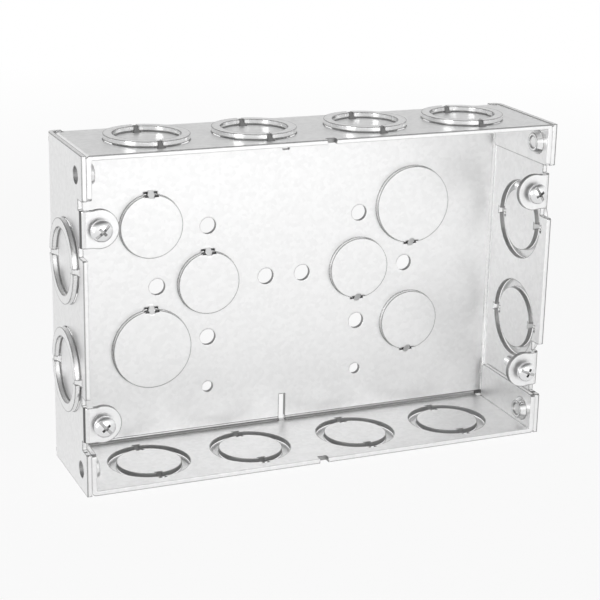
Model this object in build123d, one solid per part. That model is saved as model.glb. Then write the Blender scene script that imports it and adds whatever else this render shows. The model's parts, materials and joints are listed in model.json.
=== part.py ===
from build123d import *
import os

os.makedirs("parts", exist_ok=True)

# A multi-gang steel wiring box, folded from one sheet, with its four cover screws.
# Millimetres. X runs along the box, Z is up and the open side faces -Y.
# The origin is the middle of the flat back's outer face.

# Sheet and shell
SHEET = 1.6
BEND_IN = 1.4
LENGTH = 169.9
HEIGHT = 114.3
DEPTH = 41.3

# Corner flaps, folded from the top and bottom walls and lying behind the end walls
LAYER_GAP = 0.15
FLAP_DROP = 14.6
FLAP_BACK_GAP = 4.2
FLAP_CORNER = 0.9
FLAP_BEND_IN = 0.2
FLAP_BEND_OUT = 1.2

# Clinches that pin each flap to its end wall
CLINCH_FROM_RIM = 6.8
CLINCH_FROM_TOP = 7.3
CLINCH_POCKET_D = 5.6
CLINCH_POCKET_DEPTH = 1.3
CLINCH_BASE_D = 8.4
CLINCH_CAP_D = 6.4
CLINCH_RISE = 2.1
CLINCH_DIMPLE_D = 4.4
CLINCH_DIMPLE_SINK = 0.5

# Ears for the cover, folded inward from the end walls
EAR_SET_BACK = 1.8
EAR_BEND_IN = 0.4
EAR_STRIP = 12.2
EAR_RADIUS = 6.4
EAR_FROM_END = 6.2
EAR_FROM_TOP = 24.2
EAR_ROOT = 1.2
EAR_NOTCH_GAP = 3.4
RIM_CORNER = 0.4

# Concentric knockouts in the top, bottom and end walls
HALF_INCH_KO_D = 22.4
THREE_QUARTER_KO_D = 28.4
KO_CLEAR = 0.4
WALL_KO_FROM_RIM = 19.05
WALL_KO_PITCH = 37.3
WALL_KO_MIDDLE_PITCH = 40.6
WALL_TIE_FOOT = 3.0
WALL_TIE_WAIST = 1.7
WALL_TIE_SLOPE_SHARE = 0.4

# Single knockouts in the back
BACK_KO_OUTER_X = 49.8
BACK_KO_OUTER_Z = 22.1
BACK_KO_MIDDLE_X = 28.9
BACK_KO_CLEAR = 0.1
BACK_TIE_WAIST = 2.6
BACK_TIE_FOOT = 1.4
BACK_TIE_RAMP = 1.6
BACK_TIE_RELIEF_REACH = 0.8
BACK_TIE_RELIEF_WIDTH = 1.2

# Holes, slots and notches
MOUNT_HOLE_D = 5.9
MOUNT_HOLE_RISE = 20.4
MOUNT_HOLE_OUTER_X = 47.6
MOUNT_HOLE_INNER_X = 7.0
GROUND_HOLE_D = 4.1
GROUND_HOLE_DROP = 39.1
SLOT_WIDTH = 2.4
SLOT_LENGTH = 10.0
RIM_NOTCH_WIDTH = 3.2
RIM_NOTCH_DEPTH = 2.4

# Cover screws
SCREW_D = 4.1
SCREW_CLEARANCE = 0.05
SCREW_LENGTH = 12.7
SCREW_STAND_OFF = 1.2
HEAD_D = 8.1
HEAD_TOP_D = 5.6
HEAD_RIM = 1.5
HEAD_RISE = 2.9
DRIVE_SLOT_WIDTH = 1.1
DRIVE_SLOT_DEPTH = 1.2
DRIVE_CROSS_LENGTH = 4.6
DRIVE_CROSS_DEPTH = 1.9
SCREW_TURNS = {(-1, 1): 43.0, (-1, -1): -49.0, (1, 1): -58.0, (1, -1): -24.0}

# Worked out from the dimensions above
BEND_OUT = BEND_IN + SHEET
HALF_LENGTH = LENGTH / 2
HALF_HEIGHT = HEIGHT / 2
FLAP_FACE_X = HALF_LENGTH - SHEET - LAYER_GAP
WALL_END_X = FLAP_FACE_X - BEND_OUT
EAR_BEND_OUT = EAR_BEND_IN + SHEET
EAR_FACE_Y = EAR_SET_BACK - DEPTH
EAR_BEND_Y = EAR_FACE_Y + EAR_BEND_OUT
EAR_NOTCH_Y = EAR_BEND_Y + EAR_ROOT
EAR_X = HALF_LENGTH - EAR_FROM_END
EAR_Z = HALF_HEIGHT - EAR_FROM_TOP
KO_RAISE = SHEET + KO_CLEAR
BACK_KO_SINK = SHEET + BACK_KO_CLEAR
INNER_KO_R = HALF_INCH_KO_D / 2
OUTER_KO_R = THREE_QUARTER_KO_D / 2
WALL_TIE_RAMP = WALL_TIE_SLOPE_SHARE * (OUTER_KO_R - INNER_KO_R)
WALL_KO_Y = WALL_KO_FROM_RIM - DEPTH
WALL_KO_INNER_X = WALL_KO_MIDDLE_PITCH / 2
WALL_KO_OUTER_X = WALL_KO_INNER_X + WALL_KO_PITCH
CUT_OVER = 1.0
THROUGH = (-SHEET - CUT_OVER, CUT_OVER)
TIE_SPAN = (-KO_RAISE - SHEET - CUT_OVER, KO_RAISE + CUT_OVER)


def block(x_span, y_span, z_span):
    """Box between three pairs of limits."""
    spans = (x_span, y_span, z_span)
    low = [min(span) for span in spans]
    size = [max(span) - min(span) for span in spans]
    return Pos(*low) * Box(*size, align=(Align.MIN, Align.MIN, Align.MIN))


def disc(radius, z_span):
    """Cylinder on the local Z axis between two heights."""
    height = max(z_span) - min(z_span)
    return Pos(0, 0, min(z_span)) * Cylinder(radius, height, align=(Align.CENTER, Align.CENTER, Align.MIN))


def in_corners(shape):
    """The shape of the +X, +Z corner, mirrored into all four."""
    pair = [shape, shape.mirror(Plane.YZ)]
    return pair + [piece.mirror(Plane.XY) for piece in pair]


def quarter_bend(inner, outer, x_side, y_side):
    """Section of a right-angle bend about the local origin, in the quarter that the sides name."""
    quarter = Pos(x_side * outer / 2, y_side * outer / 2) * Rectangle(outer, outer)
    return quarter & (Circle(outer) - Circle(inner))


def channel(width):
    """Section of a folded channel, closed end at y = 0 and open end at y = -DEPTH."""
    outer = Pos(0, -DEPTH / 2) * Rectangle(width, DEPTH)
    outer = fillet(outer.vertices().group_by(Axis.Y)[-1], BEND_OUT)
    inner = Pos(0, -SHEET - DEPTH / 2) * Rectangle(width - 2 * SHEET, DEPTH)
    inner = fillet(inner.vertices().group_by(Axis.Y)[-1], BEND_IN)
    return outer - inner


def end_channel():
    """Back plate with both end walls, left open where the top and bottom walls bend."""
    walls = Pos(0, 0, -HALF_HEIGHT) * extrude(channel(LENGTH), HEIGHT)
    bend_zone = (HALF_HEIGHT - BEND_OUT, HALF_HEIGHT + CUT_OVER)
    opening = block((-WALL_END_X, WALL_END_X), THROUGH, bend_zone)
    return walls - [opening, opening.mirror(Plane.XY)]


def wall_channel():
    """Top and bottom walls with the back between them."""
    side = Plane((WALL_END_X, 0, 0), x_dir=(0, 0, 1), z_dir=(-1, 0, 0))
    return extrude(side * channel(HEIGHT), 2 * WALL_END_X)


def corner_flap():
    """Tight bend and flap at the +X end of the top wall, clear of the back."""
    root = WALL_END_X - FLAP_FACE_X
    outline = Polyline(
        (root, 0), (0, 0), (0, FLAP_DROP), (-SHEET, FLAP_DROP), (-SHEET, SHEET), (root, SHEET), close=True
    )
    section = make_face(outline)
    section = fillet(section.vertices().sort_by_distance((0, 0, 0))[0], FLAP_BEND_OUT)
    section = fillet(section.vertices().sort_by_distance((-SHEET, SHEET, 0))[0], FLAP_BEND_IN)
    rim = Plane((FLAP_FACE_X, -DEPTH, HALF_HEIGHT), x_dir=(1, 0, 0), z_dir=(0, 1, 0))
    flap = extrude(rim * section, DEPTH - FLAP_BACK_GAP)
    free_corners = flap.edges().filter_by(Axis.X).group_by(Axis.Z)[0]
    return chamfer(free_corners, FLAP_CORNER)


def clinch_frame():
    """Frame on the +X end wall's outer face at the upper clinch, Z outward."""
    centre = (HALF_LENGTH, CLINCH_FROM_RIM - DEPTH, HALF_HEIGHT - CLINCH_FROM_TOP)
    return Plane(centre, x_dir=(0, 1, 0), z_dir=(1, 0, 0))


def clinch_button():
    """Tapered round button, dimpled on top, that the press leaves on the flap's inner face."""
    flap_face = -2 * SHEET - LAYER_GAP
    plug = disc(CLINCH_BASE_D / 2, (flap_face, -SHEET / 2))
    taper = Cone(
        CLINCH_CAP_D / 2, CLINCH_BASE_D / 2, CLINCH_RISE, align=(Align.CENTER, Align.CENTER, Align.MAX)
    )
    cap = flap_face - CLINCH_RISE
    dimple = disc(CLINCH_DIMPLE_D / 2, (cap - CUT_OVER, cap + CLINCH_DIMPLE_SINK))
    return clinch_frame() * (plug + Pos(0, 0, flap_face) * taper - dimple)


def clinch_pocket():
    """Round pocket on the outside of the end wall, behind the button."""
    return clinch_frame() * disc(CLINCH_POCKET_D / 2, (-CLINCH_POCKET_DEPTH, CUT_OVER))


def ear_notch():
    """Opening in the end wall's front edge that frees one ear, with eased corners at the rim."""
    half = EAR_STRIP / 2 + EAR_NOTCH_GAP
    upper_half = [
        (-DEPTH - CUT_OVER, half + RIM_CORNER),
        (-DEPTH, half + RIM_CORNER),
        (RIM_CORNER - DEPTH, half),
        (EAR_NOTCH_Y, half),
    ]
    lower_half = [(y, -z) for y, z in reversed(upper_half)]
    outline = make_face(Polyline(*upper_half, *lower_half, close=True))
    inner_x = HALF_LENGTH - SHEET - LAYER_GAP / 2
    return Pos(inner_x, 0, EAR_Z) * extrude(Plane.YZ * outline, SHEET + CUT_OVER)


def ear():
    """Ear of the +X end wall's upper half: root strip, bend and round plate with its screw hole."""
    bend_x = HALF_LENGTH - EAR_BEND_OUT
    z_span = (EAR_Z - EAR_STRIP / 2, EAR_Z + EAR_STRIP / 2)
    root = block((HALF_LENGTH - SHEET, HALF_LENGTH), (EAR_BEND_Y, EAR_NOTCH_Y), z_span)
    bend = Pos(bend_x, EAR_BEND_Y, min(z_span)) * extrude(
        quarter_bend(EAR_BEND_IN, EAR_BEND_OUT, 1, -1), EAR_STRIP
    )
    strip = block((EAR_X, bend_x), (EAR_FACE_Y, EAR_FACE_Y + SHEET), z_span)
    face = Plane((EAR_X, EAR_FACE_Y, EAR_Z), x_dir=(1, 0, 0), z_dir=(0, 1, 0))
    short_of_bend = block((-EAR_RADIUS, bend_x - EAR_X), (-EAR_RADIUS, EAR_RADIUS), (0, SHEET))
    round_end = face * (disc(EAR_RADIUS, (0, SHEET)) & short_of_bend)
    hole = face * disc(SCREW_D / 2 + SCREW_CLEARANCE, (-CUT_OVER, SHEET + CUT_OVER))
    return root + bend + strip + round_end - hole


def tie_plan(widths, z_span):
    """Prism over a tie's outline, given as (distance, width) pairs and centred on y = 0."""
    edge = [(distance, width / 2) for distance, width in widths]
    outline = make_face(Polyline(*edge, *[(x, -y) for x, y in reversed(edge)], close=True))
    return Pos(0, 0, min(z_span)) * extrude(outline, max(z_span) - min(z_span))


def strap(top, widths):
    """Tie strap one sheet thick under a top line of (distance, height) points, as wide as its plan."""
    under = [(distance, height - SHEET) for distance, height in reversed(top)]
    outline = make_face(Polyline(*top, *under, close=True))
    reach = max(width for _, width in widths)
    return extrude(Plane.XZ * outline, reach, both=True) & tie_plan(widths, TIE_SPAN)


def wall_knockout():
    """Concentric knockout about local Z, outward: the opening, and the ring, disc and ties in it."""
    reach, foot = OUTER_KO_R + WALL_TIE_RAMP, INNER_KO_R - WALL_TIE_RAMP
    widths = [
        (reach, WALL_TIE_FOOT),
        (OUTER_KO_R, WALL_TIE_WAIST),
        (INNER_KO_R, WALL_TIE_WAIST),
        (foot, WALL_TIE_FOOT),
    ]
    rear_window = tie_plan(widths, TIE_SPAN)
    windows = [rear_window, rear_window.mirror(Plane.YZ)]
    opening = disc(OUTER_KO_R, THROUGH) + windows
    ring_span = (KO_CLEAR, KO_RAISE)
    ring = disc(OUTER_KO_R, ring_span) - disc(INNER_KO_R, ring_span) - windows
    middle = disc(INNER_KO_R, (-SHEET, 0)) - windows
    crest = (OUTER_KO_R - WALL_TIE_RAMP, INNER_KO_R + WALL_TIE_RAMP)
    top = [(reach, 0), (crest[0], KO_RAISE), (crest[1], KO_RAISE), (foot, 0)]
    rear_tie = strap(top, widths)
    return opening, [ring, middle, rear_tie, rear_tie.mirror(Plane.YZ)]


def back_knockout(diameter):
    """Single knockout pushed inward (local -Z) and tied at local +X: the opening, slug and tie."""
    radius = diameter / 2
    inside, outside = radius - BACK_TIE_RAMP, radius + BACK_TIE_RAMP
    widths = [(outside, BACK_TIE_FOOT), (radius, BACK_TIE_WAIST), (inside, BACK_TIE_FOOT)]
    window = tie_plan(widths, TIE_SPAN)
    reach = (radius - BACK_TIE_RELIEF_REACH, radius + BACK_TIE_RELIEF_REACH)
    half_relief = BACK_TIE_WAIST / 2 + BACK_TIE_RELIEF_WIDTH
    relief = block(reach, (-half_relief, half_relief), (-SHEET - CUT_OVER, -SHEET / 2))
    opening = disc(radius, THROUGH) + window + relief
    slug = disc(radius, (-BACK_KO_SINK - SHEET, -BACK_KO_SINK)) - window - Pos(0, 0, -BACK_KO_SINK) * relief
    tie = strap([(outside, 0), (inside, -BACK_KO_SINK)], widths)
    return opening, [slug, tie]


def wall_knockout_frames():
    """Frames of the concentric knockouts, Z outward and X to the rear."""
    rear = (0, 1, 0)
    frames = []
    for side in (-1, 1):
        for x in (-WALL_KO_OUTER_X, -WALL_KO_INNER_X, WALL_KO_INNER_X, WALL_KO_OUTER_X):
            frames.append(Plane((x, WALL_KO_Y, side * HALF_HEIGHT), x_dir=rear, z_dir=(0, 0, side)))
        for z in (-WALL_KO_PITCH / 2, WALL_KO_PITCH / 2):
            frames.append(Plane((side * HALF_LENGTH, WALL_KO_Y, z), x_dir=rear, z_dir=(side, 0, 0)))
    return frames


def back_knockout_layout():
    """Frame and diameter of each knockout in the back; the right half is the left half turned over."""
    left_half = [
        (-BACK_KO_OUTER_X, BACK_KO_OUTER_Z, HALF_INCH_KO_D),
        (-BACK_KO_MIDDLE_X, 0, HALF_INCH_KO_D),
        (-BACK_KO_OUTER_X, -BACK_KO_OUTER_Z, THREE_QUARTER_KO_D),
    ]
    return [
        (Plane((turn * x, 0, turn * z), x_dir=(0, 0, turn), z_dir=(0, 1, 0)), diameter)
        for turn in (1, -1)
        for x, z, diameter in left_half
    ]


def back_holes():
    """Round holes through the back: eight for mounting and two tapped for the ground screw."""
    places = []
    for side in (-1, 1):
        column_x = side * BACK_KO_MIDDLE_X
        places += [
            (column_x, MOUNT_HOLE_RISE, MOUNT_HOLE_D),
            (column_x, -MOUNT_HOLE_RISE, MOUNT_HOLE_D),
            (side * MOUNT_HOLE_OUTER_X, 0, MOUNT_HOLE_D),
            (side * MOUNT_HOLE_INNER_X, 0, MOUNT_HOLE_D),
            (column_x, -GROUND_HOLE_DROP, GROUND_HOLE_D),
        ]
    return [
        Plane((x, 0, z), x_dir=(1, 0, 0), z_dir=(0, 1, 0)) * disc(diameter / 2, THROUGH)
        for x, z, diameter in places
    ]


def slots_and_notches():
    """An upright slot at each end of the back's middle line and a notch in each long rim."""
    half_slot = SLOT_WIDTH / 2
    slot_top = HALF_HEIGHT - SHEET
    slot = block((-half_slot, half_slot), (-BEND_OUT, CUT_OVER), (slot_top - SLOT_LENGTH, slot_top))
    half_notch = RIM_NOTCH_WIDTH / 2
    notch = block(
        (-half_notch, half_notch),
        (-DEPTH - CUT_OVER, RIM_NOTCH_DEPTH - DEPTH),
        (slot_top - CUT_OVER, HALF_HEIGHT + CUT_OVER),
    )
    return [slot, slot.mirror(Plane.XY), notch, notch.mirror(Plane.XY)]


def box_body():
    """The whole folded sheet as one solid."""
    body = end_channel() + wall_channel()
    body += in_corners(corner_flap())
    body += in_corners(clinch_button())
    body -= in_corners(clinch_pocket()) + in_corners(ear_notch())
    body += in_corners(ear())
    openings = back_holes() + slots_and_notches()
    pieces = []
    for frame in wall_knockout_frames():
        opening, parts = wall_knockout()
        openings.append(frame * opening)
        pieces += [frame * part for part in parts]
    for frame, diameter in back_knockout_layout():
        opening, parts = back_knockout(diameter)
        openings.append(frame * opening)
        pieces += [frame * part for part in parts]
    return body - openings + pieces


def cover_screw(turn):
    """One screw about local Z, under-head face at z = 0, head upward, drive turned by an angle."""
    shank = disc(SCREW_D / 2, (-SCREW_LENGTH, 0))
    rim = disc(HEAD_D / 2, (0, HEAD_RIM))
    crown = Pos(0, 0, HEAD_RIM) * Cone(
        HEAD_D / 2, HEAD_TOP_D / 2, HEAD_RISE - HEAD_RIM, align=(Align.CENTER, Align.CENTER, Align.MIN)
    )
    across = (-DRIVE_SLOT_WIDTH / 2, DRIVE_SLOT_WIDTH / 2)
    arm = (-DRIVE_CROSS_LENGTH / 2, DRIVE_CROSS_LENGTH / 2)
    slot = block((-HEAD_D, HEAD_D), across, (HEAD_RISE - DRIVE_SLOT_DEPTH, HEAD_RISE + CUT_OVER))
    cross_span = (HEAD_RISE - DRIVE_CROSS_DEPTH, HEAD_RISE + CUT_OVER)
    cross = block(arm, across, cross_span) + block(across, arm, cross_span)
    return Rot(0, 0, turn) * (shank + rim + crown - slot - cross)


def cover_screws():
    """The four screws in their ears, each partly driven and turned its own way."""
    screws = []
    for (x_side, z_side), turn in SCREW_TURNS.items():
        seat = (x_side * EAR_X, EAR_FACE_Y - SCREW_STAND_OFF, z_side * EAR_Z)
        frame = Plane(seat, x_dir=(1, 0, 0), z_dir=(0, -1, 0))
        screws.append(frame * cover_screw(turn))
    return Compound(children=screws)


export_step(box_body(), "parts/box_body.step")
export_step(cover_screws(), "parts/cover_screws.step")
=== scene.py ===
"""Dresses a multi-gang wiring box: galvanised sheet, zinc-plated cover screws and a pale studio."""

import json
import logging
import math
from dataclasses import dataclass, field
from enum import Enum
from typing import Any

import bmesh
import bpy
from mathutils import Matrix, Vector

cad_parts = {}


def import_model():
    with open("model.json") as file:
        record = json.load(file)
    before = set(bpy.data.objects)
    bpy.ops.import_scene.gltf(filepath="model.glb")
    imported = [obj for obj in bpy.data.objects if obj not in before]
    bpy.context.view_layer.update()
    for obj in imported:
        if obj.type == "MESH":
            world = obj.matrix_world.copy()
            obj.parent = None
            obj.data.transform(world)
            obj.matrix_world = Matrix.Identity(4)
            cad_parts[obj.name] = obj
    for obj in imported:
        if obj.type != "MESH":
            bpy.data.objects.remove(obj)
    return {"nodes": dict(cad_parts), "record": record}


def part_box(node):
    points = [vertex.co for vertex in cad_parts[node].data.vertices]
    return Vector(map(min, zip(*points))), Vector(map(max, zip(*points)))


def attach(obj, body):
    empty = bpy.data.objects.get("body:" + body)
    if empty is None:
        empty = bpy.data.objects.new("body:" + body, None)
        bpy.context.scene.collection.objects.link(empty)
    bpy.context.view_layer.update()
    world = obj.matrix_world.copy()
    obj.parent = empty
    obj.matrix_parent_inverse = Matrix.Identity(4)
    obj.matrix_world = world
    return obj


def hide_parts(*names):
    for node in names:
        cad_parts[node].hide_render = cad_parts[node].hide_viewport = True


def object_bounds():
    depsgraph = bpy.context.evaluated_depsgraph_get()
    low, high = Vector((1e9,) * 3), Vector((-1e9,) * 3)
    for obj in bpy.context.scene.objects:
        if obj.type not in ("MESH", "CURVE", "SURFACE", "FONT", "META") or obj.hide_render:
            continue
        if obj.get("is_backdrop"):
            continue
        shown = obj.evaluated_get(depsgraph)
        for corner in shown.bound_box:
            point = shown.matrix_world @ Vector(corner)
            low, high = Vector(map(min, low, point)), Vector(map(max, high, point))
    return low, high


LOG = logging.getLogger("wiring_box")
MM = 0.001
BODY = "root"
MERGE_DISTANCE = 1e-7
WHITE = (1.0, 1.0, 1.0, 1.0)
# Size of a normal's part along an axis, below which a face counts as cut across the sheet.
CUT_TURN = 0.8
# The same for stretches where every face counts.
ANY_TURN = 1.1
Colour = tuple[float, float, float]
Point = tuple[float, float, float]
Span = tuple[float, float]
Socket = bpy.types.NodeSocket
Value = float | Socket
Input = float | Socket | tuple[float, ...]


class Corner(Enum):
    """Corner of the box that a cover screw sits in, as its sides along X and Z."""

    UPPER_LEFT = (-1, 1)
    LOWER_LEFT = (-1, -1)
    UPPER_RIGHT = (1, 1)
    LOWER_RIGHT = (1, -1)


class LampRole(Enum):
    """What a softbox does in the studio."""

    FRONT_FILL = "front_fill"
    SIDE_FILL = "side_fill"


class FaceAxis(Enum):
    """Axis that the two faces of a flat stretch of sheet look along."""

    X = 0
    Y = 1
    Z = 2


class NodeBoard:
    """Short-hand for building one node tree."""

    def __init__(self, tree: bpy.types.NodeTree) -> None:
        """Empties the tree and keeps it."""
        self.tree = tree
        tree.nodes.clear()

    def add(
        self, kind: str, inputs: dict[str | int, Input] | None = None, **settings: str | int
    ) -> bpy.types.Node:
        """Adds a node.

        Args:
            kind: Blender's name of the node type.
            inputs: Values or source sockets by input name or number.
            **settings: Properties of the node itself.

        Returns:
            The new node.
        """
        node = self.tree.nodes.new(kind)
        for name, value in settings.items():
            setattr(node, name, value)
        for key, value in (inputs or {}).items():
            if isinstance(value, Socket):
                self.tree.links.new(value, node.inputs[key])
            else:
                node.inputs[key].default_value = value
        return node

    def ramp(self, value: Socket, span: Span, result: Span, easing: str = "LINEAR") -> Socket:
        """Maps one range onto another and holds the ends.

        Args:
            value: Source socket.
            span: Where the source starts and ends.
            result: What it gives there.
            easing: Blender's name of the way between them.

        Returns:
            The result's socket.
        """
        inputs = {
            "Value": value,
            "From Min": span[0],
            "From Max": span[1],
            "To Min": result[0],
            "To Max": result[1],
        }
        return self.add("ShaderNodeMapRange", inputs, interpolation_type=easing).outputs["Result"]

    def maths(self, operation: str, *values: Value) -> Socket:
        """Works out one sum.

        Args:
            operation: Blender's name of the operation.
            *values: Numbers or source sockets, in order.

        Returns:
            The result's socket.
        """
        return self.add("ShaderNodeMath", dict(enumerate(values)), operation=operation).outputs[0]

    def product(self, first: Value, second: Value) -> Socket:
        """Multiplies two numbers."""
        return self.maths("MULTIPLY", first, second)

    def largest(self, first: Value, *others: Value) -> Value:
        """Finds the largest of several numbers.

        Args:
            first: Number or source socket.
            *others: More of them.

        Returns:
            The result's socket, or the first number if it stands alone.
        """
        found = first
        for other in others:
            found = self.maths("MAXIMUM", found, other)
        return found

    def parts(self, vector: Socket) -> list[Socket]:
        """Splits a vector along X, Y and Z."""
        return list(self.add("ShaderNodeSeparateXYZ", {0: vector}).outputs)

    def mixed(self, share: Value, first: Value, second: Value) -> Socket:
        """Mixes two numbers.

        Args:
            share: Share of the second, from 0 to 1.
            first: Number or source socket at 0.
            second: Number or source socket at 1.

        Returns:
            The result's socket.
        """
        return self.add("ShaderNodeMix", {0: share, 2: first, 3: second}, data_type="FLOAT").outputs[0]

    def tinted(self, share: Value, first: Colour | Socket, second: Colour | Socket) -> Socket:
        """Mixes two colours.

        Args:
            share: Share of the second, from 0 to 1.
            first: Colour or source socket at 0.
            second: Colour or source socket at 1.

        Returns:
            The result's socket.
        """
        start, end = ((*c, 1.0) if isinstance(c, tuple) else c for c in (first, second))
        return self.add("ShaderNodeMix", {0: share, 6: start, 7: end}, data_type="RGBA").outputs[2]

    def noise(self, place: Socket, size_mm: float, detail: float) -> Socket:
        """Adds noise.

        Args:
            place: Socket of the position.
            size_mm: Size of its patches.
            detail: Number of finer layers.

        Returns:
            The noise's socket, 0 to 1.
        """
        inputs = {"Vector": place, "Scale": 1.0 / (size_mm * MM), "Detail": detail}
        return self.add("ShaderNodeTexNoise", inputs).outputs["Fac"]

    def bumped(
        self, height: Socket, strength: float, depth_mm: float, normal: Socket | None = None
    ) -> Socket:
        """Turns a height into a fine relief.

        Args:
            height: Source socket, 0 to 1.
            strength: How much of the relief shows.
            depth_mm: Depth of the relief.
            normal: Normal to start from, if not the surface's own.

        Returns:
            The normal's socket.
        """
        inputs = {"Strength": strength, "Distance": depth_mm * MM, "Height": height}
        if normal:
            inputs["Normal"] = normal
        return self.add("ShaderNodeBump", inputs).outputs["Normal"]


def new_finish(name: str) -> tuple[bpy.types.Material, NodeBoard]:
    """Makes an empty material.

    Args:
        name: Name of the material.

    Returns:
        The material and the board of its nodes.
    """
    made = bpy.data.materials.new(name)
    made.use_nodes = True
    return made, NodeBoard(made.node_tree)


def around(middle: float, half: float) -> Span:
    """Span about a middle."""
    return middle - half, middle + half


class SurfacePoint:
    """Sockets that say where a shaded point of the sheet lies and which way its face looks."""

    def __init__(self, board: NodeBoard) -> None:
        """Reads place and true normal, and splits them along the axes.

        Args:
            board: Tree that gets the nodes.
        """
        self.board = board
        self.place = board.add("ShaderNodeTexCoord").outputs["Object"]
        self.normal = board.add("ShaderNodeNewGeometry").outputs["True Normal"]
        self.x, self.y, self.z = board.parts(self.place)
        self.across = board.maths("ABSOLUTE", self.x)
        self.upward = board.maths("ABSOLUTE", self.z)
        self.turns = [board.maths("ABSOLUTE", part) for part in board.parts(self.normal)]

    def turn(self, axis: FaceAxis) -> Socket:
        """Size of the normal's part along an axis."""
        return self.turns[axis.value]

    def inside(self, zones: list["SheetZone"]) -> Value:
        """Rises to a zone's strength where the point lies on one of its faces."""
        return self.board.largest(0.0, *(zone.mask(self) for zone in zones))

    def quartered(self) -> Socket:
        """Place in the box's plane with all four quarters laid onto one."""
        return self.board.add("ShaderNodeCombineXYZ", {"X": self.across, "Z": self.upward}).outputs[0]

    def half_turned(self) -> Socket:
        """Place in the box's plane with the right half turned onto the left about the middle."""
        upward = self.board.product(self.board.maths("SIGN", self.x), self.board.product(self.z, -1.0))
        return self.board.add("ShaderNodeCombineXYZ", {"X": self.across, "Z": upward}).outputs[0]

    def near(
        self, place: Socket, spots: tuple[Point, ...], depth_mm: float, margin_mm: float = 0.0
    ) -> Socket:
        """Finds the sheet close to any of several spots of the back.

        Args:
            place: Place in the box's plane.
            spots: Distances from the middle along X and Z, and the radius, of each spot in millimetres.
            depth_mm: How far from the back's outer face the sheet counts.
            margin_mm: What is added to each radius.

        Returns:
            The mask's socket, one near a spot.
        """
        board = self.board
        found: Value = 0.0
        for across, upward, radius in spots:
            inputs = {0: place, 1: (across * MM, 0.0, upward * MM)}
            away = board.add("ShaderNodeVectorMath", inputs, operation="DISTANCE").outputs["Value"]
            found = board.largest(found, board.maths("LESS_THAN", away, (radius + margin_mm) * MM))
        return board.product(found, board.maths("GREATER_THAN", self.y, -depth_mm * MM))


@dataclass(frozen=True)
class SheetZone:
    """Stretch of sheet, alike in all four corners unless signed, whose two faces look along one axis.

    Limits are millimetres from the middle of the box along X and Z, and along Y itself.
    """

    axis: FaceAxis
    across: Span
    along_depth: Span
    upward: Span
    turn_limit: float = CUT_TURN
    strength: float = 1.0
    signed_x: bool = False
    signed_z: bool = False

    def mask(self, point: SurfacePoint) -> Socket:
        """Finds the faces in this stretch that turn away from its axis.

        Args:
            point: The shaded point.

        Returns:
            The mask's socket, at full strength on such a face.
        """
        board = point.board
        x = point.x if self.signed_x else point.across
        z = point.z if self.signed_z else point.upward
        found = board.maths("LESS_THAN", point.turn(self.axis), self.turn_limit)
        for socket, (low, high) in ((x, self.across), (point.y, self.along_depth), (z, self.upward)):
            middle, half = (low + high) / 2 * MM, (high - low) / 2 * MM
            found = board.product(found, board.maths("COMPARE", socket, middle, half))
        return board.product(found, self.strength)


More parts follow.
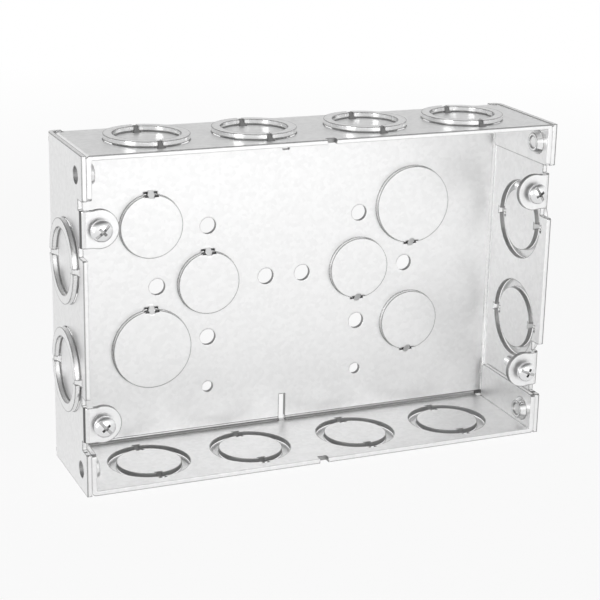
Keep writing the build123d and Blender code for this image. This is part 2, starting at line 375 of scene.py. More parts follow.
@dataclass(frozen=True)
class SheetPlan:
    """Where the sheet is cut and bent, and where shade is painted on it.

    Lengths are millimetres. A turn is the size of a normal's part along an axis, and a fold's span
    is given in shares of the outer bend radius.
    """

    half_length: float
    half_height: float
    depth: float
    holes: tuple[Point, ...]
    sheet: float = 1.6
    bend_out: float = 3.0
    layer_gap: float = 0.15
    slack: float = 0.1
    flap_drop: float = 14.6
    ear_set_back: float = 1.8
    ear_notch: float = 5.0
    ear_reach: float = 13.0
    ear_span: Span = (24.0, 46.0)
    left_fold: Span = (0.23, 0.62)
    right_fold: Span = (0.1, 0.65)
    left_fold_share: float = 0.7
    fold_turn: float = 0.95
    knockout_from_rim: float = 19.05
    knockout_radius: float = 14.2
    small_radius: float = 11.2
    slug_outer_x: float = 49.8
    slug_outer_z: float = 22.1
    slug_middle_x: float = 28.9
    slug_rise: float = 1.7
    sheared_band: float = 0.4
    relief_turn: float = 0.2
    tie_reach: float = 2.7
    tie_turn: float = 0.883
    tie_turn_slack: float = 0.05
    rim_band: float = 0.6
    # Width of the painted shade line along the rim's outer edges.
    rim_shade_width: float = 0.4
    # Strengths of the raw-steel tint, partly painted gap shade, on the long walls and end walls; the end
    # walls' share also scales their painted rim shade.
    long_wall_share: float = 0.9
    end_wall_share: float = 0.8

    @property
    def ear_face(self) -> float:
        """Place of the ears' front faces along Y."""
        return self.ear_set_back - self.depth

    @property
    def x_inside(self) -> Span:
        """The flat back's half along X."""
        return 0.0, self.half_length - self.bend_out - self.slack

    @property
    def z_inside(self) -> Span:
        """The flat back's half along Z."""
        return 0.0, self.half_height - self.bend_out - self.slack

    @property
    def hole_depth(self) -> float:
        """Depth that holds the whole flat back."""
        return self.sheet + 2 * self.slack

    @property
    def slug_depth(self) -> float:
        """Depth that holds the back with its slugs."""
        return self.slug_rise + self.hole_depth

    def left_ties(self) -> tuple[Point, ...]:
        """Lists the spots of the ties on the back's left half.

        Returns:
            Distance from the middle along X, height along Z and reach of each tie.
        """
        return (
            (self.slug_outer_x, self.slug_outer_z + self.small_radius, self.tie_reach),
            (self.slug_middle_x, self.small_radius, self.tie_reach),
            (self.slug_outer_x, self.knockout_radius - self.slug_outer_z, self.tie_reach),
        )

    def cut_faces(self) -> list[SheetZone]:
        """Lists the stretches whose cut faces show raw steel, partly real bare steel and partly painted
        shade of the narrow gaps.

        Returns:
            Back, the slugs' front bands, the ties' reliefs, long walls, the end walls' knockouts and ears.
        """
        slug_face = -self.slug_rise - self.sheet
        back = (-self.sheet - self.slack, self.slack)
        slug_bands = (slug_face - self.slack, slug_face + self.sheared_band)
        zones = [
            SheetZone(FaceAxis.Y, self.x_inside, depth, self.z_inside) for depth in (back, slug_bands)
        ]
        # Floors of the reliefs beside the ties, whose dark is painted shade.
        for floor in (-self.sheet / 2, -self.sheet / 2 - self.slug_rise):
            depth = around(floor, self.slack)
            zones.append(SheetZone(FaceAxis.Z, self.x_inside, depth, self.z_inside, self.relief_turn))
        return [*zones, self._long_walls(), self._end_knockouts(), self._ears()]

    def _long_walls(self) -> SheetZone:
        """Gives the long walls between rim and back.

        Returns:
            The stretch with the walls' knockouts and notches.
        """
        flap_face = self.half_length - self.sheet - self.layer_gap
        across = (0.0, flap_face - self.bend_out)
        along_depth = (self.slack - self.depth, -self.bend_out - self.slack)
        upward = (self.half_height - self.sheet - self.slack, self.half_height)
        return SheetZone(FaceAxis.Z, across, along_depth, upward, strength=self.long_wall_share)

    def _end_knockouts(self) -> SheetZone:
        """Gives the part of the end walls that holds their knockouts.

        Returns:
            The stretch from the ears' notches to the knockouts' rear.
        """
        rear = self.knockout_from_rim - self.depth + self.knockout_radius
        across = (self.half_length - self.sheet - self.slack, self.half_length - self.slack)
        along_depth = (self.ear_notch - self.depth + self.slack, rear + self.slack)
        return SheetZone(FaceAxis.X, across, along_depth, self.z_inside, strength=self.end_wall_share)

    def _ears(self) -> SheetZone:
        """Gives the flat ears.

        Returns:
            The stretch from the ears' round ends to their bends.
        """
        across = (self.half_length - self.ear_reach, self.x_inside[1])
        along_depth = (self.ear_face - self.slack, self.ear_face + self.sheet + self.slack)
        upward = (0.0, self.half_height - self.flap_drop - self.slack)
        return SheetZone(FaceAxis.Y, across, along_depth, upward)

    def long_bends(self) -> list[SheetZone]:
        """Lists the inner bends between back and long walls, which get a painted shade band.

        Returns:
            One stretch for both bends.
        """
        along_depth = (-self.bend_out, self.slack - self.sheet)
        upward = (self.half_height - self.bend_out, self.half_height - self.sheet + self.slack)
        return [SheetZone(FaceAxis.Z, (0.0, self.half_length), along_depth, upward, ANY_TURN)]

    def ear_folds(self) -> list[SheetZone]:
        """Lists the painted shade lines along the ears' bends.

        Returns:
            The left ears' line and the right ears' line.
        """
        left = (-self.half_length, self.left_fold_share * self.sheet - self.half_length)
        right = (self.half_length - self.sheet, self.half_length)
        lines = []
        for across, fold in ((left, self.left_fold), (right, self.right_fold)):
            start, end = (self.ear_face + share * self.bend_out for share in fold)
            line = SheetZone(
                FaceAxis.Y, across, (start, end), self.ear_span, self.fold_turn, signed_x=True
            )
            lines.append(line)
        return lines

    def rim_shade_edges(self) -> list[SheetZone]:
        """Lists the outer edges of the rim, which get a painted shade line.

        Returns:
            The upper edge and the edges of the end walls.
        """
        at_rim = around(-self.depth, self.slack)
        above = (self.half_height - self.rim_shade_width, self.half_height + self.slack)
        beside = (self.half_length - self.rim_shade_width, self.half_length + self.slack)
        between = (0.0, self.half_length - self.sheet)
        return [
            SheetZone(FaceAxis.Z, between, at_rim, above, signed_z=True),
            SheetZone(FaceAxis.X, beside, at_rim, (0.0, self.half_height), strength=self.end_wall_share),
        ]

    def inner_rim(self) -> list[SheetZone]:
        """Lists the inner half of the rim, where no arris shade is painted.

        Returns:
            One stretch for the whole rim.
        """
        across = (0.0, self.half_length - self.sheet / 2)
        along_depth = (-self.depth - self.slack, self.rim_band - self.depth)
        upward = (0.0, self.half_height - self.sheet / 2)
        return [SheetZone(FaceAxis.X, across, along_depth, upward, ANY_TURN)]


@dataclass(frozen=True)
class SheetMarks:
    """Masks of raw cut faces, bends and painted shade on the sheet, from 0 to 1."""

    # Raw steel on cut faces, partly real and partly painted shade of narrow gaps.
    raw: Value
    by_tie: Value
    # Painted shade line along the arrises.
    arris: Value
    # Painted shade along the inner bends and the ears' folds.
    bend_shade: Value
    # Painted shade line along the rim's upper and end edges.
    rim_shade: Value
    drawn: Value


@dataclass(frozen=True)
class GalvanisedSheet:
    """Zinc-coated steel sheet with spangle, grain and raw punched edges, and painted shade on edges, bends
    and gaps.
    """

    plan: SheetPlan
    name: str = "galvanised_sheet"
    dull_zinc: Colour = (0.855, 0.855, 0.855)
    bright_zinc: Colour = (0.965, 0.965, 0.965)
    # Dark tint of the inner bends and the ears' folds: painted shade.
    painted_bend_shade: Colour = (0.16, 0.16, 0.16)
    # Tint of the cut faces: bare steel, and painted shade where they line narrow gaps.
    raw_steel_and_gap_shade: Colour = (0.34, 0.34, 0.34)
    # Darker tint of the faces by the ties, the reliefs' floors among them: painted shade.
    painted_relief_shade: Colour = (0.16, 0.16, 0.16)
    # Dark tint of the rim's upper and end edges: painted shade.
    painted_rim_shade: Colour = (0.36, 0.36, 0.36)
    # Dark tint of the arrises: painted shade lines at the edges.
    painted_arris_shade: Colour = (0.3, 0.3, 0.3)
    zinc_roughness: Span = (0.45, 0.37)
    raw_roughness: float = 0.5
    drawn_roughness: float = 0.16
    drawn_turn: Span = (0.996, 0.97)
    # How much the painted bend shade fades where the bend faces up or down.
    bend_fade: float = 0.75
    spangle_mm: float = 1.3
    cloud_mm: float = 30.0
    cloud_detail: float = 4.0
    cloud_share: float = 0.3
    grain_mm: float = 0.3
    grain_detail: float = 3.0
    grain_share: float = 0.3
    grain_bump: float = 0.1
    grain_depth_mm: float = 0.02
    arris_mm: float = 0.6
    arris_samples: int = 6
    arris_turn: Span = (0.994, 0.95)

    def material(self) -> bpy.types.Material:
        """Builds the finish.

        Returns:
            The new material.
        """
        made, board = new_finish(self.name)
        point = SurfacePoint(board)
        grain = board.noise(point.place, self.grain_mm, self.grain_detail)
        shade = self._shade(board, point.place, grain)
        bevel = board.add("ShaderNodeBevel", {"Radius": self.arris_mm * MM}, samples=self.arris_samples)
        eased = bevel.outputs["Normal"]
        marks = self._marks(point, eased)
        metal = board.add(
            "ShaderNodeBsdfPrincipled",
            {
                "Base Color": self._colour(board, shade, marks),
                "Metallic": 1.0,
                "Roughness": self._roughness(board, shade, marks),
                "Normal": board.bumped(grain, self.grain_bump, self.grain_depth_mm, eased),
            },
        )
        board.add("ShaderNodeOutputMaterial", {"Surface": metal.outputs["BSDF"]})
        return made

    def _shade(self, board: NodeBoard, place: Socket, grain: Socket) -> Socket:
        """Mixes crystals, clouds and grain.

        Args:
            board: Tree that gets the nodes.
            place: Socket of the position.
            grain: Socket of the grain.

        Returns:
            The shade's socket, from dull to bright.
        """
        cells = board.add("ShaderNodeTexVoronoi", {"Vector": place, "Scale": 1.0 / (self.spangle_mm * MM)})
        crystal = board.add("ShaderNodeSeparateColor", {"Color": cells.outputs["Color"]}).outputs["Red"]
        cloud = board.noise(place, self.cloud_mm, self.cloud_detail)
        return board.mixed(self.grain_share, board.mixed(self.cloud_share, crystal, cloud), grain)

    def _marks(self, point: SurfacePoint, eased: Socket) -> SheetMarks:
        """Finds the cut and bent faces, and where shade is painted.

        Args:
            point: The shaded point.
            eased: Normal that is rounded at the edges.

        Returns:
            The masks.
        """
        board, plan = point.board, self.plan
        by_tie = point.near(point.half_turned(), plan.left_ties(), plan.slug_depth)
        facing_out = point.turn(FaceAxis.Y)
        # Cut faces by the ties, which take the painted relief shade.
        tie_edges = board.product(by_tie, board.maths("LESS_THAN", facing_out, CUT_TURN))
        sloped = board.maths("COMPARE", facing_out, plan.tie_turn, plan.tie_turn_slack)
        holes = point.near(point.quartered(), plan.holes, plan.hole_depth, self.arris_mm)
        # Places where no arris shade is painted: the inner rim, the screw holes and the ties.
        no_arris_shade = board.largest(point.inside(plan.inner_rim()), holes, by_tie)
        # Painted shade in the long bends, fading where the face turns up or down.
        fade = board.product(self.bend_fade, point.turn(FaceAxis.Z))
        bends = board.product(point.inside(plan.long_bends()), board.maths("SUBTRACT", 1.0, fade))
        drawn = board.maths("SUBTRACT", self._drawn(point), board.product(by_tie, sloped))
        return SheetMarks(
            raw=board.largest(point.inside(plan.cut_faces()), tie_edges),
            by_tie=by_tie,
            arris=board.mixed(no_arris_shade, self._arris(point, eased), 0.0),
            bend_shade=board.largest(bends, point.inside(plan.ear_folds())),
            # Painted shade line on the rim's upper edge and the end walls' edges.
            rim_shade=point.inside(plan.rim_shade_edges()),
            drawn=board.largest(drawn, 0.0),
        )

    def _drawn(self, point: SurfacePoint) -> Socket:
        """Rises to one where the sheet is bent or drawn, so that it faces between the axes."""
        return point.board.ramp(point.board.largest(*point.turns), self.drawn_turn, (0.0, 1.0))

    def _arris(self, point: SurfacePoint, eased: Socket) -> Socket:
        """Finds the arrises, where the eased normal turns away from the face.

        Args:
            point: The shaded point.
            eased: Normal that is rounded at the edges.

        Returns:
            The mask's socket, which rises to one on an arris.
        """
        inputs = {0: eased, 1: point.normal}
        turn = point.board.add("ShaderNodeVectorMath", inputs, operation="DOT_PRODUCT").outputs["Value"]
        return point.board.ramp(turn, self.arris_turn, (0.0, 1.0))

    def _colour(self, board: NodeBoard, shade: Socket, marks: SheetMarks) -> Socket:
        """Lays raw steel and painted shade over the zinc.

        Args:
            board: Tree that gets the nodes.
            shade: Socket from dull to bright.
            marks: Masks of the sheet's faces.

        Returns:
            The colour's socket.
        """
        colour = board.tinted(shade, self.dull_zinc, self.bright_zinc)
        # Painted shade lines on the arrises.
        colour = board.tinted(marks.arris, colour, self.painted_arris_shade)
        # Painted shade in the bends and along the ears' folds.
        colour = board.tinted(marks.bend_shade, colour, self.painted_bend_shade)
        # Painted shade line along the rim's edges.
        colour = board.tinted(marks.rim_shade, colour, self.painted_rim_shade)
        # By the ties, painted shade in the reliefs instead of raw steel.
        steel = board.tinted(marks.by_tie, self.raw_steel_and_gap_shade, self.painted_relief_shade)
        # Raw steel on the cut faces, partly painted shade of the narrow gaps.
        return board.tinted(marks.raw, colour, steel)

    def _roughness(self, board: NodeBoard, shade: Socket, marks: SheetMarks) -> Socket:
        """Smooths the drawn faces and roughens the raw ones.

        Args:
            board: Tree that gets the nodes.
            shade: Socket from dull to bright.
            marks: Masks of the sheet's faces.

        Returns:
            The roughness's socket.
        """
        zinc = board.ramp(shade, (0.0, 1.0), self.zinc_roughness)
        coated = board.mixed(marks.drawn, zinc, self.drawn_roughness)
        return board.mixed(marks.raw, coated, self.raw_roughness)


@dataclass(frozen=True)
class ZincPlate:
    """Bright zinc plating of the screws, with painted shade inside the driver's recess.

    The lengths of the head are metres.
    """

    head_radius: float
    rim: float
    rise: float
    name: str = "zinc_plate"
    colour: Colour = (0.88, 0.88, 0.885)
    # Dark tint inside the driver's recess: painted shade.
    painted_recess_shade: Colour = (0.56, 0.56, 0.56)
    recess_mm: float = 0.12
    head_edge: float = 0.05
    roughness_range: Span = (0.2, 0.3)
    grain_mm: float = 0.5
    grain_detail: float = 3.0
    grain_bump: float = 0.08
    grain_depth_mm: float = 0.02

    def material(self) -> bpy.types.Material:
        """Builds the finish.

        Returns:
            The new material.
        """
        made, board = new_finish(self.name)
        place = board.add("ShaderNodeTexCoord").outputs["Object"]
        grain = board.noise(place, self.grain_mm, self.grain_detail)
        metal = board.add(
            "ShaderNodeBsdfPrincipled",
            {
                # Painted shade in the recess.
                "Base Color": board.tinted(self._recess(board, place), self.colour, self.painted_recess_shade),
                "Metallic": 1.0,
                "Roughness": board.ramp(grain, (0.0, 1.0), self.roughness_range),
                "Normal": board.bumped(grain, self.grain_bump, self.grain_depth_mm),
            },
        )
        board.add("ShaderNodeOutputMaterial", {"Surface": metal.outputs["BSDF"]})
        return made

    def _recess(self, board: NodeBoard, place: Socket) -> Socket:
        """Finds what lies below the dome's own height, inside the head.

        Args:
            board: Tree that gets the nodes.
            place: Socket of the position on the screw.

        Returns:
            The mask's socket, one in the recess.
        """
        x, y, height = board.parts(place)
        square = board.maths("MULTIPLY_ADD", x, x, board.product(y, y))
        share = board.maths("SUBTRACT", 1.0, board.maths("DIVIDE", square, self.head_radius**2))
        dome = board.maths("SQRT", board.largest(share, 0.0))
        top = board.maths("MULTIPLY_ADD", dome, self.rise - self.rim, self.rim - self.recess_mm * MM)
        inside = board.maths("GREATER_THAN", share, self.head_edge)
        below = board.product(board.maths("LESS_THAN", height, top), inside)
        return board.product(below, board.maths("GREATER_THAN", height, 0.0))


@dataclass(frozen=True)
class PaleFloor:
    """White floor that shows white to the camera and still takes the object's shadow near it."""

    name: str = "pale_floor"
    colour: Colour = (0.9, 0.9, 0.9)
    near_glow: float = 0.9
    far_glow: float = 1.0
    near: float = 0.35
    far: float = 0.8
    mirrored: float = 0.8

    def material(self) -> bpy.types.Material:
        """Builds the finish.

        Returns:
            The new material.
        """
        made, board = new_finish(self.name)
        paint = board.add("ShaderNodeBsdfDiffuse", {"Color": (*self.colour, 1.0)})
        glow = board.add("ShaderNodeEmission", {"Color": WHITE, "Strength": 1.0})
        place = board.add("ShaderNodeTexCoord").outputs["Object"]
        away = board.add("ShaderNodeVectorMath", {0: place}, operation="LENGTH").outputs["Value"]
        share = board.ramp(away, (self.near, self.far), (self.near_glow, self.far_glow))
        share = board.product(share, self._seen_directly(board))
        mixed = board.add("ShaderNodeMixShader", {0: share, 1: paint.outputs[0], 2: glow.outputs[0]})
        board.add("ShaderNodeOutputMaterial", {"Surface": mixed.outputs[0]})
        return made

    def _seen_directly(self, board: NodeBoard) -> Value:
        """Tells the rays that see the floor from those that light up other things.

        Args:
            board: Tree that gets the nodes.

        Returns:
            One for camera and transmission rays, a share for glossy rays, zero for the rest.
        """
        path = board.add("ShaderNodeLightPath").outputs
        glossy = board.product(path["Is Glossy Ray"], self.mirrored)
        return board.largest(path["Is Camera Ray"], glossy, path["Is Transmission Ray"])


@dataclass
class SheetBody:
    """The folded sheet, which stays as the solid model gives it and gets its finish."""

    node: bpy.types.Object
    record: dict[str, Any]
    knockout_rise_mm: float = 2.0

    def dress(self) -> None:
        """Gives the sheet its finish."""
        low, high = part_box(self.node.name)
        plan = SheetPlan(
            half_length=high.x / MM - self.knockout_rise_mm,
            half_height=high.z / MM - self.knockout_rise_mm,
            depth=-low.y / MM,
            holes=self._screw_holes(),
        )
        self.node.material_slots[0].material = GalvanisedSheet(plan).material()
        LOG.info("dressed %s", self.node.name)

    def _screw_holes(self) -> tuple[Point, ...]:
        """Reads the open holes of the back from the record.

        Returns:
            Distances from the middle along X and Z, and the radius, of each set of holes in millimetres.
        """
        holes = []
        for mount in self.record["mounts"]:
            if mount["kind"] == "bolt_pattern":
                dims = mount["dims"]
                across = abs(mount["pos_m"][0]) / MM + dims["spacing_x_mm"] / 2
                upward = abs(mount["pos_m"][2]) / MM + dims.get("spacing_y_mm", 0.0) / 2
                holes.append((across, upward, dims["hole_r_mm"]))
        return tuple(holes)


@dataclass
class CoverScrew:
    """One partly driven cover screw with a domed head, a slot with a cross recess and a fine thread."""

    corner: Corner
    seat: Vector
    turn_deg: float
    head_radius: float
    length: float
    head_rise_mm: float = 2.5
    rim_mm: float = 0.7
    rim_edge_share: float = 0.15
    slot_width_mm: float = 1.0
    slot_depth_mm: float = 0.9
    cross_reach_mm: float = 2.1
    cross_foot_share: float = 0.35
    cross_width_mm: float = 0.9
    cross_depth_mm: float = 1.6
    cut_over_mm: float = 0.5
    thread_pitch_mm: float = 0.794
    thread_radius_mm: float = 2.05
    thread_depth_mm: float = 0.42
    flank_gain: float = 1.35
    flank_root: float = 0.2
    sharp_deg: float = 38.0
    round_steps: int = 64
    dome_steps: int = 12
    thread_steps: int = 8

    @property
    def name(self) -> str:
        """Name of the piece."""
        return f"cover_screw_{self.corner.name.lower()}"

    def build(self, finish: bpy.types.Material) -> bpy.types.Object:
        """Makes the screw in its ear.

        Args:
            finish: Material of the whole screw.

        Returns:
            The new object.
        """
        mesh = self._joined(self._recessed(self._head()), self._thread())
        mesh.materials.append(finish)
        piece = bpy.data.objects.new(self.name, mesh)
        bpy.context.scene.collection.objects.link(piece)
        outward = Matrix.Rotation(math.radians(90), 4, "X")
        turned = Matrix.Rotation(math.radians(self.turn_deg), 4, "Z")
        piece.matrix_world = Matrix.Translation(self.seat) @ outward @ turned
        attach(piece, BODY)
        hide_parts("cover_screws")
        LOG.info("built %s with %d faces", piece.name, len(mesh.polygons))
        return piece

    def _head(self) -> bpy.types.Mesh:
        """Turns the head about local Z, its underside at zero.

        Returns:
            The closed mesh.
        """
        radius = self.head_radius
        rim, rise = self.rim_mm * MM, self.head_rise_mm * MM
        edge = self.rim_edge_share * rim
        profile = [(0.0, 0.0), (radius - edge, 0.0), (radius, edge)]
        for step in range(self.dome_steps):
            angle = math.pi / 2 * step / self.dome_steps
            profile.append((radius * math.cos(angle), rim + (rise - rim) * math.sin(angle)))
        profile.append((0.0, rise))
        return lathe("screw_head", profile, self.round_steps)

    def _recessed(self, head: bpy.types.Mesh) -> bpy.types.Mesh:
        """Cuts the driver's slot and cross into the head.

        Args:
            head: Closed mesh of the head.

        Returns:
            The cut mesh.
        """
        over = self.cut_over_mm * MM
        rise = self.head_rise_mm * MM
        reach = self.head_radius + over
        slot_floor = rise - self.slot_depth_mm * MM
        cutters = [tapered_bar("slot", reach, reach, self.slot_width_mm * MM / 2, slot_floor, rise + over)]
        for quarter in range(2):
            wing = self._cross_wing(rise, rise + over)
            wing.transform(Matrix.Rotation(math.pi / 2 * quarter, 4, "Z"))
            cutters.append(wing)
        return cut_away(head, cutters)

    def _cross_wing(self, rise: float, top: float) -> bpy.types.Mesh:
        """Makes one tapered bar of the cross recess.

        Args:
            rise: Height of the head.
            top: Height of the bar's upper face.

        Returns:
            The closed mesh.
        """
        reach = self.cross_reach_mm * MM
        foot = self.cross_foot_share * reach
        half = self.cross_width_mm * MM / 2
        floor = rise - self.cross_depth_mm * MM
        return tapered_bar("wing", reach, foot, half, floor, top)

    def _thread(self) -> bpy.types.Mesh:
        """Winds the thread of the shank below the head, with a short lead at its tip.

        Returns:
            The closed mesh.
        """
        rows = int(self.length / (self.thread_pitch_mm * MM) * self.thread_steps)
        bm = bmesh.new()
        rings = [self._thread_ring(bm, -self.length * row / rows) for row in range(rows + 1)]
        for upper, lower in zip(rings, rings[1:]):
            for step in range(self.round_steps):
                after = (step + 1) % self.round_steps
                bm.faces.new((upper[step], lower[step], lower[after], upper[after]))
        bm.faces.new(list(reversed(rings[0])))
        bm.faces.new(rings[-1])
        bmesh.ops.recalc_face_normals(bm, faces=bm.faces)
        return finished(bm, "screw_thread")

    def _thread_ring(self, bm: bmesh.types.BMesh, z: float) -> list[bmesh.types.BMVert]:
        """Adds the thread's section at one height.

        Args:
            bm: Working mesh.
            z: Height, zero under the head and negative below.

        Returns:
            The new points, round the axis.
        """
        pitch, depth = self.thread_pitch_mm * MM, self.thread_depth_mm * MM
        root = self.thread_radius_mm * MM - depth
        lead = min(1.0, (self.length + z) / pitch)
        ring = []
        for step in range(self.round_steps):
            angle = 2 * math.pi * step / self.round_steps
            flank = abs(2 * ((z / pitch + step / self.round_steps) % 1.0) - 1)
            crest = min(1.0, max(0.0, self.flank_gain * flank - self.flank_root))
            radius = root + depth * lead * crest
            ring.append(bm.verts.new((radius * math.cos(angle), radius * math.sin(angle), z)))
        return ring

    def _joined(self, head: bpy.types.Mesh, thread: bpy.types.Mesh) -> bpy.types.Mesh:
        """Puts head and thread into one smooth mesh.

        Args:
            head: Mesh of the head.
            thread: Mesh of the shank.

        Returns:
            The joined mesh.
        """
        bm = bmesh.new()
        bm.from_mesh(head)
        bm.from_mesh(thread)
        mesh = finished(bm, self.name)
        mesh.shade_smooth()
        mesh.set_sharp_from_angle(angle=math.radians(self.sharp_deg))
        return mesh


def finished(bm: bmesh.types.BMesh, name: str) -> bpy.types.Mesh:
    """Turns a working mesh into a stored one.

    Args:
        bm: Working mesh, freed here.
        name: Name of the result.

    Returns:
        The new mesh.
    """
    mesh = bpy.data.meshes.new(name)
    bm.to_mesh(mesh)
    bm.free()
    return mesh


def lathe(name: str, profile: list[tuple[float, float]], steps: int) -> bpy.types.Mesh:
    """Turns a profile about Z.

    Args:
        name: Name of the mesh.
        profile: Radius and height of each point, from axis to axis.
        steps: Points round the axis.

    Returns:
        The closed mesh.
    """
    bm = bmesh.new()
    verts = [bm.verts.new((radius, 0.0, height)) for radius, height in profile]
    edges = [bm.edges.new(pair) for pair in zip(verts, verts[1:])]
    bmesh.ops.spin(
        bm,
        geom=verts + edges,
        cent=(0, 0, 0),
        axis=(0, 0, 1),
        angle=2 * math.pi,
        steps=steps,
        use_merge=True,
    )
    bmesh.ops.remove_doubles(bm, verts=bm.verts, dist=MERGE_DISTANCE)
    bmesh.ops.recalc_face_normals(bm, faces=bm.faces)
    return finished(bm, name)


def tapered_bar(
    name: str, top: float, bottom: float, half: float, low: float, high: float
) -> bpy.types.Mesh:
    """Bar along X that narrows downward at its two ends.

    Args:
        name: Name of the mesh.
        top: Half length at the upper face.
        bottom: Half length at the lower face.
        half: Half width along Y.
        low: Height of the lower face.
        high: Height of the upper face.

    Returns:
        The closed mesh.
    """
    bm = bmesh.new()
    rings = []
    for reach, height in ((bottom, low), (top, high)):
        corners = ((-reach, -half), (reach, -half), (reach, half), (-reach, half))
        rings.append([bm.verts.new((x, y, height)) for x, y in corners])
    lower, upper = rings
    bm.faces.new(list(reversed(lower)))
    bm.faces.new(upper)
    for step in range(len(lower)):
        after = (step + 1) % len(lower)
        bm.faces.new((lower[step], lower[after], upper[after], upper[step]))
    bmesh.ops.recalc_face_normals(bm, faces=bm.faces)
    return finished(bm, name)


def cut_away(mesh: bpy.types.Mesh, cutters: list[bpy.types.Mesh]) -> bpy.types.Mesh:
    """Subtracts cutters from a mesh.

    Args:
        mesh: Closed mesh to cut.
        cutters: Closed meshes to take away.

    Returns:
        The cut mesh.
    """
    scene = bpy.context.scene
    target = bpy.data.objects.new(mesh.name, mesh)
    scene.collection.objects.link(target)
    tools = []
    for cutter in cutters:
        tool = bpy.data.objects.new(cutter.name, cutter)
        scene.collection.objects.link(tool)
        step = target.modifiers.new(cutter.name, "BOOLEAN")
        step.operation = "DIFFERENCE"
        step.solver = "EXACT"
        step.object = tool
        tools.append(tool)
    graph = bpy.context.evaluated_depsgraph_get()
    result = bpy.data.meshes.new_from_object(target.evaluated_get(graph))
    for temporary in (target, *tools):
        bpy.data.objects.remove(temporary)
    return result


@dataclass
class ScrewSet:
    """The four cover screws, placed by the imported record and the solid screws' own box."""

    record: dict[str, Any]
    head_share: float = 0.89
    turns: dict[Corner, float] = field(
        default_factory=lambda: {
            Corner.UPPER_LEFT: 43.0,
            Corner.LOWER_LEFT: -49.0,
            Corner.UPPER_RIGHT: -58.0,
            Corner.LOWER_RIGHT: -24.0,
        }
    )

    def build(self) -> list[bpy.types.Object]:
        """Makes the screws.

        Returns:
            The new objects.
        """
        ears = next(mount for mount in self.record["mounts"] if mount["name"] == "cover_ears")
        half_x = ears["dims"]["spacing_x_mm"] * MM / 2
        half_z = ears["dims"]["spacing_y_mm"] * MM / 2
        low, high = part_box("cover_screws")
        head_radius = self.head_share * (high.x - half_x)
        rise = CoverScrew.head_rise_mm * MM
        under_head = low.y + rise
        finish = ZincPlate(head_radius, CoverScrew.rim_mm * MM, rise).material()
        made = []
        for corner, turn in self.turns.items():
            x_side, z_side = corner.value
            seat = Vector((x_side * half_x, under_head, z_side * half_z))
            made.append(CoverScrew(corner, seat, turn, head_radius, high.y - under_head).build(finish))
        return made


@dataclass(frozen=True)
class Softbox:
    """One square area lamp."""

    role: LampRole
    place: Point
    aim: Point
    side: float
    power: float

    def light(self) -> bpy.types.Object:
        """Hangs the lamp.

        Returns:
            The lamp's object.
        """
        data = bpy.data.lights.new(self.role.value, "AREA")
        data.shape = "SQUARE"
        data.size = self.side
        data.energy = self.power
        lamp = bpy.data.objects.new(self.role.value, data)
        lamp.location = self.place
        lamp.rotation_mode = "QUATERNION"
        lamp.rotation_quaternion = (Vector(self.aim) - Vector(self.place)).to_track_quat("-Z", "Y")
        lamp.visible_camera = False
        bpy.context.scene.collection.objects.link(lamp)
        return lamp


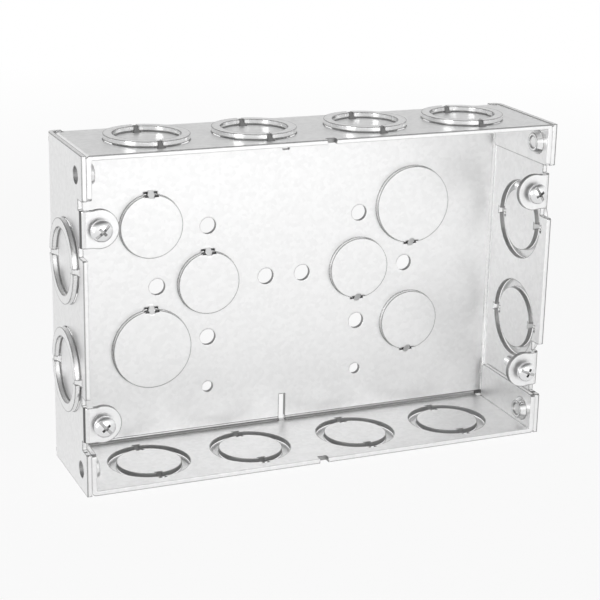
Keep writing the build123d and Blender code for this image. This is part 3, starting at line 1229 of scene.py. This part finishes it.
@dataclass
class Studio:
    """Pale floor, soft lamps, white surroundings with a dim ceiling, and the camera."""

    floor_height: float
    floor_side: float = 12.0
    front_light: float = 1.1
    rear_light: float = 0.86
    ceiling_light: float = 0.2
    wall_top: float = 0.3
    ceiling_edge: float = 0.85
    eye: Point = (-0.2247, -0.5423, 0.1735)
    yaw_deg: float = 23.58
    pitch_deg: float = 17.85
    roll_deg: float = 1.33
    lens_mm: float = 102.42
    sensor_mm: float = 36.0
    shift: Span = (-0.02, 0.025)
    softboxes: tuple[Softbox, ...] = (
        Softbox(LampRole.FRONT_FILL, (0.2, -1.2, 0.1), (0.0, -0.03, 0.0), 0.6, 2.4),
        Softbox(LampRole.SIDE_FILL, (-0.95, -0.5, 0.1), (0.0, -0.03, 0.0), 0.4, 3.0),
    )

    def build(self) -> None:
        """Sets up the whole studio."""
        self._floor()
        self._surroundings()
        for softbox in self.softboxes:
            softbox.light()
        self._camera()
        bpy.context.scene.view_settings.view_transform = "Standard"
        LOG.info("studio ready")

    def _floor(self) -> None:
        """Lays the floor under the lowest point of the box."""
        half = self.floor_side / 2
        mesh = bpy.data.meshes.new("floor")
        corners = [(-half, -half), (half, -half), (half, half), (-half, half)]
        mesh.from_pydata([(x, y, self.floor_height) for x, y in corners], [], [(0, 1, 2, 3)])
        mesh.materials.append(PaleFloor().material())
        floor = bpy.data.objects.new("floor", mesh)
        bpy.context.scene.collection.objects.link(floor)
        floor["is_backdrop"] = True

    def _surroundings(self) -> None:
        """Puts up white walls, brighter in front than behind, that dim towards the ceiling."""
        world = bpy.data.worlds.new("surroundings")
        world.use_nodes = True
        board = NodeBoard(world.node_tree)
        _, rearward, upward = board.parts(board.add("ShaderNodeTexCoord").outputs["Generated"])
        wall = board.ramp(rearward, (-1.0, 1.0), (self.front_light, self.rear_light))
        height = board.ramp(upward, (self.wall_top, self.ceiling_edge), (0.0, 1.0), "SMOOTHSTEP")
        light = board.mixed(height, wall, self.ceiling_light)
        shown = board.add("ShaderNodeBackground", {"Color": WHITE, "Strength": light})
        board.add("ShaderNodeOutputWorld", {"Surface": shown.outputs[0]})
        bpy.context.scene.world = world

    def _camera(self) -> None:
        """Puts the camera at the photograph's viewpoint."""
        yaw, pitch, roll = (math.radians(turn) for turn in (self.yaw_deg, self.pitch_deg, self.roll_deg))
        level_share = math.cos(pitch)
        ahead = Vector((math.sin(yaw) * level_share, math.cos(yaw) * level_share, -math.sin(pitch)))
        level = Vector((math.cos(yaw), -math.sin(yaw), 0.0))
        rise = level.cross(ahead)
        right = math.cos(roll) * level + math.sin(roll) * rise
        up = math.cos(roll) * rise - math.sin(roll) * level
        data = bpy.data.cameras.new("camera")
        data.sensor_width = self.sensor_mm
        data.lens = self.lens_mm
        data.shift_x, data.shift_y = self.shift
        camera = bpy.data.objects.new("camera", data)
        turned = Matrix((right, up, -ahead)).transposed()
        camera.matrix_world = Matrix.Translation(self.eye) @ turned.to_4x4()
        bpy.context.scene.collection.objects.link(camera)
        bpy.context.scene.camera = camera


def main() -> None:
    """Builds the dressed box and its studio."""
    logging.basicConfig(level=logging.INFO)
    bpy.ops.wm.read_factory_settings(use_empty=True)
    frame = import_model()
    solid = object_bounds()
    SheetBody(frame["nodes"]["box_body"], frame["record"]).dress()
    ScrewSet(frame["record"]).build()
    Studio(floor_height=solid[0].z).build()


if __name__ == "__main__":
    main()
